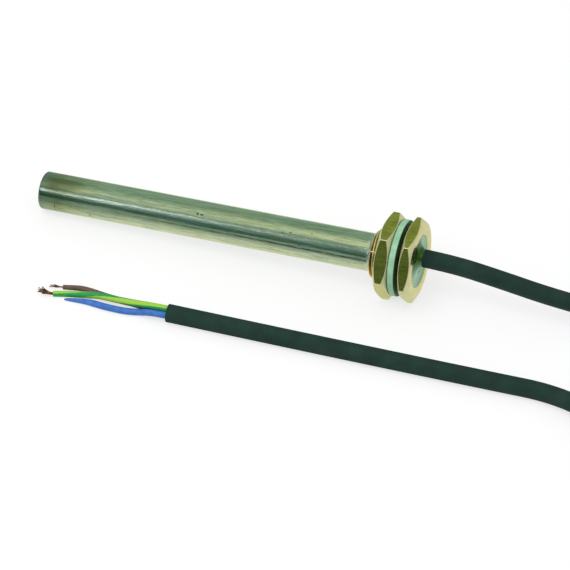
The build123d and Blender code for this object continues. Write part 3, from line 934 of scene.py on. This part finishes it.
def gasketMaterial(setup):
    material, tree, shader = newMaterial("gasketRubber")
    place = heaterPlace(tree)
    x, y, z = parts(tree, place)
    fromAxis = lengthOf(tree, y, z)
    cloudy = noiseOn(tree, place, 300, 3)
    grain = noiseOn(tree, place, 2200, 3, 0.7)
    colour = mottled(tree, cloudy, (0.22, 0.44, 0.27), (0.34, 0.58, 0.40))
    # Painted shade: the side faces inside the rim, and the rim beside the nut, are painted dark green where
    # they lie in shadow
    rim = ranged(tree, fromAxis, *((setup["radius"] - depth) * mm for depth in setup["sideShadeFade"]))
    seam = ranged(tree, x, *((setup["start"] + depth) * mm for depth in setup["seamShadeFade"]))
    colour = mixColours(tree, times(tree, rim, seam), (0.045, 0.125, 0.045, 1), colour)
    setShader(shader, tree, Base_Color=colour, Roughness=0.55, Normal=bumpFrom(tree, grain, 0.35, 0.05 * mm))
    return material


def makeGasket(setup):
    start, stop, edge = setup["start"], setup["start"] + setup["thickness"], setup["edge"]
    outer, bore = setup["radius"], setup["bore"]
    profile = [(start, bore)] + arcPoints((start + edge, outer - edge), edge, 180, 90, 5)
    profile += [((start + stop) / 2, outer)] + arcPoints((stop - edge, outer - edge), edge, 90, 0, 5)
    profile += [(stop, bore), (start, bore)]

    def uneven(station, outward, turn):
        sunk = setup["unevenness"] * noiseAround(station * 0.3, 3, turn) if outward > bore else 0
        return station, outward - sunk

    rows = latheRows(profile, setup["columns"], uneven)
    return gridPiece("gasketRing", rows, gasketMaterial(setup), gasketBody, ["gasket"], "gasket")


def solderMaterial():
    material, tree, shader = newMaterial("softSolder")
    place = objectPlace(tree)
    cloudy = noiseOn(tree, place, 700, 3)
    colour = mottled(tree, cloudy, (0.52, 0.50, 0.36), (0.80, 0.80, 0.70))
    setShader(shader, tree, Base_Color=colour, Metallic=1.0, Roughness=0.30,
              Normal=bumpFrom(tree, cloudy, 0.4, 0.10 * mm))
    return material


def makeSolder(setup):
    foot, shank, height = setup["edge"], thread["shank"], setup["height"]
    radius, spigot = sheath["radius"], sheath["spigot"]
    hollow, low, high = setup["hollow"] * height, setup["foot"], setup["shoulder"]
    profile = [(foot, spigot), (foot, radius), (foot + low[0] * (shank - foot), radius + low[1] * height),
               (shank - hollow, radius + hollow), (shank - high[0] * hollow, radius + high[1] * height),
               (shank, radius + height), (shank, spigot), (foot, spigot)]

    def lumpy(station, outward, turn):
        lump = setup["lumps"] * (noiseAround(station, 5, turn) - 0.5) if foot < station < shank else 0
        return station - abs(lump), outward + lump

    rows = latheRows(profile, setup["columns"], lumpy)
    return gridPiece("solderRing", rows, solderMaterial(), heaterBody, ["solder_ring"], "solder")


makeGasket(gasket)
makeSolder(solder)
print("gasket and solder made")

# Potting resin, drawn up the recess's wall and up the lead
potting = {"wall": 10.84, "rim": 4.6, "dish": 3.8, "crown": 6.6, "wallReach": 1.8, "leadReach": 1.9,
           "floor": 1.55, "seat": 2.55, "hidden": 0.15,  # mm, the last two under the lead
           "columns": 128, "rings": 30, "ripple": 0.05,
           "leadReflectionWay": (-0.72, 0.694)}  # to the front and up from the lead, where the resin is painted dark as a painted reflection of the lead


def pottingMaterial(setup):
    material, tree, shader = newMaterial("pottingResin")
    place = heaterPlace(tree)
    _, y, z = parts(tree, place)
    fromLead = (plus(tree, y, lead["aside"] * mm), maths(tree, "SUBTRACT", z, lead["rise"] * mm))
    alongWay = [times(tree, side, way) for side, way in zip(fromLead, setup["leadReflectionWay"])]
    towards = maths(tree, "DIVIDE", plus(tree, *alongWay), lengthOf(tree, *fromLead))
    # Painted reflection: towards the front and up from the lead the resin is painted dark green, less
    # metallic and with less coat, standing in for the dark lead mirrored in it
    thick = ranged(tree, towards, 0.05, 1.0, interpolation_type="SMOOTHSTEP")
    cloudy = noiseOn(tree, place, 240, 2)
    colour = mottled(tree, cloudy, (0.13, 0.26, 0.26), (0.24, 0.42, 0.43))
    colour = mixColours(tree, thick, colour, (0.062, 0.125, 0.026, 1))
    shrunk = streaks(tree, place, (300, 700, 300), 2)
    metallic = ranged(tree, thick, 0, 1, 0.9, 0.6)
    density = ranged(tree, thick, 0, 1, 2.4, 1.45)
    tint = mixColours(tree, thick, (0.86, 1.0, 0.98, 1), (0.39, 0.47, 0.33, 1))
    coat = times(tree, maths(tree, "SUBTRACT", 1.0, thick), 0.4)
    setShader(shader, tree, Base_Color=colour, Metallic=metallic, Roughness=0.18, IOR=density,
              Specular_Tint=tint, Coat_Weight=coat, Coat_Roughness=0.14,
              Normal=bumpFrom(tree, shrunk, 0.15, 0.12 * mm))
    return material


def makePotting(setup):
    rise, aside, inner = lead["rise"], lead["aside"], lead["diameter"] / 2 - setup["hidden"]
    columns = []
    for j in range(setup["columns"]):
        turn = 2 * math.pi * j / setup["columns"]
        up, front = math.cos(turn), math.sin(turn)
        along = rise * up + aside * front
        reach = -along + math.sqrt(along**2 - rise**2 - aside**2 + setup["wall"] ** 2)
        column = [(setup["seat"], r) for r in (pole, inner)]
        for i in range(setup["rings"]):
            share = (1 - math.cos(math.pi * i / (setup["rings"] - 1))) / 2
            r = inner + (reach - inner) * share
            climb = (setup["crown"] - setup["dish"]) * math.exp(-(r - inner) / setup["leadReach"])
            cling = (setup["rim"] - setup["dish"]) * math.exp(-(reach - r) / setup["wallReach"])
            ripple = 0.5 * noise.noise(Vector((up * r * 0.35, front * r * 0.35, 0)))
            ripple *= setup["ripple"] * math.sin(math.pi * share)
            column.append((setup["dish"] + climb + cling + ripple, r))
        column = [onHeater(s * mm, (rise + up * r) * mm, (aside + front * r) * mm) for s, r in column]
        floor, over, before = setup["floor"] * mm, (rise + up * reach) * mm, (aside + front * reach) * mm
        column += [onHeater(floor, over * share, before * share) for share in (1, pole / 10)]
        columns.append(column)
    rows, resin = [*zip(*columns)], pottingMaterial(setup)
    return gridPiece("pottingResin", rows, resin, heaterBody, ["potting_plug"], "potting", 50)


makePotting(potting)
print("resin poured")

# Pieces inside the sheath keep their solids and get their finishes
innerFinishes = {  # nodes, two colours, the scale of their mottle, roughness and metallic
    "ceramic": ("tip_spacer ceramic_core lead_end_bush",
                (0.70, 0.66, 0.56), (0.82, 0.79, 0.70), 700, 0.6, 0.0),
    "magnesia": ("magnesia_fill", (0.72, 0.71, 0.66), (0.86, 0.85, 0.80), 1500, 0.9, 0.0),
    "heatingWire": ("resistance_winding", (0.22, 0.20, 0.18), (0.40, 0.37, 0.34), 900, 0.4, 1.0),
    "nickel": ("terminal_pin_1 terminal_pin_2 splice_ferrule_1 splice_ferrule_2 earth_ferrule",
               (0.46, 0.43, 0.38), (0.62, 0.59, 0.53), 800, 0.3, 1.0),
    "glassSleeving": ("splice_sleeve_1 splice_sleeve_2",
                      (0.62, 0.58, 0.48), (0.86, 0.83, 0.74), 2400, 0.8, 0.0),
    "innerBrown": ("inner_lead_brown", (0.135, 0.068, 0.058), (0.205, 0.112, 0.098), 400, 0.4, 0.0),
    "innerBlue": ("inner_lead_blue", (0.045, 0.165, 0.60), (0.065, 0.215, 0.72), 400, 0.4, 0.0),
    "innerGreenYellow": ("inner_lead_green_yellow", (0.015, 0.29, 0.065), (0.33, 0.60, 0.04), 160, 0.4, 0.0),
}


def finishInner(name, nodes, first, second, scale, roughness, metallic):
    material, tree, shader = newMaterial(name)
    cloudy = noiseOn(tree, objectPlace(tree), scale, 3)
    colour = mottled(tree, cloudy, first, second, 0.35, 0.65)
    setShader(shader, tree, Base_Color=colour, Metallic=metallic, Roughness=roughness,
              Normal=bumpFrom(tree, cloudy, 0.2, 0.03 * mm))
    for node in nodes.split():
        data = frame["nodes"][node].data
        data.materials.clear()
        data.materials.append(material)


for name, finish in innerFinishes.items():
    finishInner(name, *finish)
print("inner pieces finished")


# Table and studio. Glossy rays see a dim workshop with one soft window; all others see a plain pale studio
studio = {
    "floorSize": 8.0, "floorColour": (0.90, 0.91, 0.90, 1), "floorGlow": 0.70,  # m, colour, share
    "sides": (0.80, 0.82, 0.80, 1),  # what rays other than the camera's and glossy ones see around
    # The axis over the table: mm at the flange, mm more for each mm to the lead, and mm at least
    "axisHeight": 16.56, "axisSlope": 0.0539, "axisLeast": 4.0,
    "floorReach": 10.0,  # how far in front and behind the bands run, in heights of the axis over the table
    "floorBands": [(-10.0, (0.27, 0.41, 0.32)), (-7.5, (0.50, 0.60, 0.46)), (-4.5, (0.78, 0.84, 0.64)),
                   (0.0, (0.80, 0.86, 0.64)), (1.0, (0.70, 0.78, 0.58)), (1.7, (0.58, 0.68, 0.53)),
                   (3.0, (0.31, 0.41, 0.31)), (4.5, (0.30, 0.41, 0.33)), (10.0, (0.26, 0.38, 0.31))],
    # The bands' places are degrees up from the front and over the top
    "tipBands": [(-8, (0.27, 0.39, 0.33)), (-2, (0.13, 0.24, 0.20)), (5, (0.050, 0.120, 0.10)),
                 (22, (0.055, 0.130, 0.115)), (31, (0.21, 0.33, 0.31)), (38, (0.30, 0.42, 0.40)),
                 (45, (0.31, 0.43, 0.40)), (53, (0.25, 0.37, 0.31)), (62, (0.34, 0.47, 0.38)),
                 (74, (0.44, 0.58, 0.46)), (95, (0.41, 0.54, 0.39)), (112, (0.27, 0.41, 0.30)),
                 (180, (0.28, 0.42, 0.33))],
    "nutBands": [(-8, (0.30, 0.42, 0.35)), (-2, (0.17, 0.27, 0.22)), (5, (0.060, 0.130, 0.095)),
                 (18, (0.085, 0.16, 0.125)), (27, (0.17, 0.28, 0.225)), (42, (0.15, 0.26, 0.20)),
                 (50, (0.19, 0.31, 0.23)), (57, (0.26, 0.39, 0.28)), (65, (0.68, 0.80, 0.51)),
                 (92, (0.78, 0.88, 0.54)), (106, (0.34, 0.47, 0.32)), (122, (0.24, 0.38, 0.24)),
                 (180, (0.25, 0.40, 0.29))],
    "window": [(36, (0, 0, 0)), (40, (0.92, 1.0, 1.06)), (45, (0.92, 1.0, 1.06)), (49, (0, 0, 0))],
    "windowDrop": 6.0, "dropReach": 0.06,  # degrees that it lies lower past this share of the way to the nut
    "windowFades": [(0.0, 2.1), (0.03, 1.1), (0.10, 0.40), (0.20, 0.12), (0.40, 0.0)],
    "tipReach": -0.325, "nutReach": -0.245,  # lengthwise part of a ray mirrored at the tip and at the nut
    "lampEnergy": 9.0, "lampSize": 0.9, "lampPlace": (-0.35, -0.55, 1.25),  # W, m, m
}


def makeFloor(setup):
    half = setup["floorSize"] / 2
    mesh = bpy.data.meshes.new("tableTop")
    corners = [(x * half, y * half, tableHeight) for x, y in ((-1, -1), (1, -1), (1, 1), (-1, 1))]
    mesh.from_pydata(corners, [], [(0, 1, 2, 3)])
    table = placed("tableTop", mesh)
    material, tree, shader = newMaterial("paleTable")
    setShader(shader, tree, Base_Color=setup["floorColour"], Roughness=0.9)
    glow = addNode(tree, "ShaderNodeEmission", {"Color": (1, 1, 1, 1), "Strength": 1.0})
    rays = addNode(tree, "ShaderNodeLightPath").outputs
    seen = times(tree, rays["Is Camera Ray"], setup["floorGlow"])
    pale = addNode(tree, "ShaderNodeMixShader", {0: seen, 1: shader.outputs[0], 2: glow.outputs[0]})
    place = objectPlace(tree)
    x, y, _ = parts(tree, place)
    height = plus(tree, times(tree, x, setup["axisSlope"]), setup["axisHeight"] * mm)
    height = maths(tree, "MAXIMUM", height, setup["axisLeast"] * mm)
    away = maths(tree, "DIVIDE", times(tree, y, -1.0), height)
    reach = setup["floorReach"]
    share = ranged(tree, away, -reach, reach)
    stops = [((away / reach + 1) / 2, colour) for away, colour in setup["floorBands"]]
    bands = colourRamp(tree, share, stops)
    mirrored = addNode(tree, "ShaderNodeEmission", {"Color": bands, "Strength": 1.0})
    mixed = addNode(tree, "ShaderNodeMixShader", {
        0: rays["Is Glossy Ray"], 1: pale.outputs[0], 2: mirrored.outputs[0]})
    tree.links.new(mixed.outputs[0], tree.nodes["Material Output"].inputs[0])
    mesh.materials.append(material)


def makeWorld(setup):
    world = bpy.data.worlds.new("studio")
    bpy.context.scene.world = world
    world.use_nodes = True
    tree = world.node_tree
    background = tree.nodes["Background"]
    place = addNode(tree, "ShaderNodeTexCoord").outputs["Generated"]
    _, y, z = parts(tree, place)
    turn = maths(tree, "ARCTAN2", z, times(tree, y, -1.0))
    share = ranged(tree, turn, -math.pi, math.pi)
    along = addNode(tree, "ShaderNodeVectorMath", {0: place, 1: axisWay}, operation="DOT_PRODUCT")
    along = along.outputs["Value"]
    toNut = ranged(tree, along, setup["tipReach"], setup["nutReach"])
    lower = ranged(tree, toNut, 0.0, setup["dropReach"], last=setup["windowDrop"] / 360)
    tipSide, nutSide, window = (
        colourRamp(tree, at, [((degrees + 180) / 360, colour) for degrees, colour in setup[key]])
        for key, at in (("tipBands", share), ("nutBands", share), ("window", plus(tree, share, lower))))
    fades = colourRamp(tree, toNut, [(at, (level, level, level)) for at, level in setup["windowFades"]])
    mirrored = mixColours(tree, toNut, tipSide, nutSide)
    mirrored = mixColours(tree, 1.0, mirrored, mixColours(tree, 1.0, window, fades, "MULTIPLY"), "ADD")
    rays = addNode(tree, "ShaderNodeLightPath").outputs
    colour = mixColours(tree, rays["Is Glossy Ray"], setup["sides"], mirrored)
    colour = mixColours(tree, rays["Is Camera Ray"], colour, (1, 1, 1, 1))
    tree.links.new(colour, background.inputs[0])


def makeLamp(setup):
    data = bpy.data.lights.new("softKey", "AREA")
    data.energy, data.size = setup["lampEnergy"], setup["lampSize"]
    lamp = placed("softKey", data)
    lamp.visible_glossy = False
    place = Vector(setup["lampPlace"])
    lamp.matrix_world = Matrix.Translation(place) @ (-place).to_track_quat("-Z", "Y").to_matrix().to_4x4()


makeFloor(studio)
makeWorld(studio)
makeLamp(studio)
print("studio set")
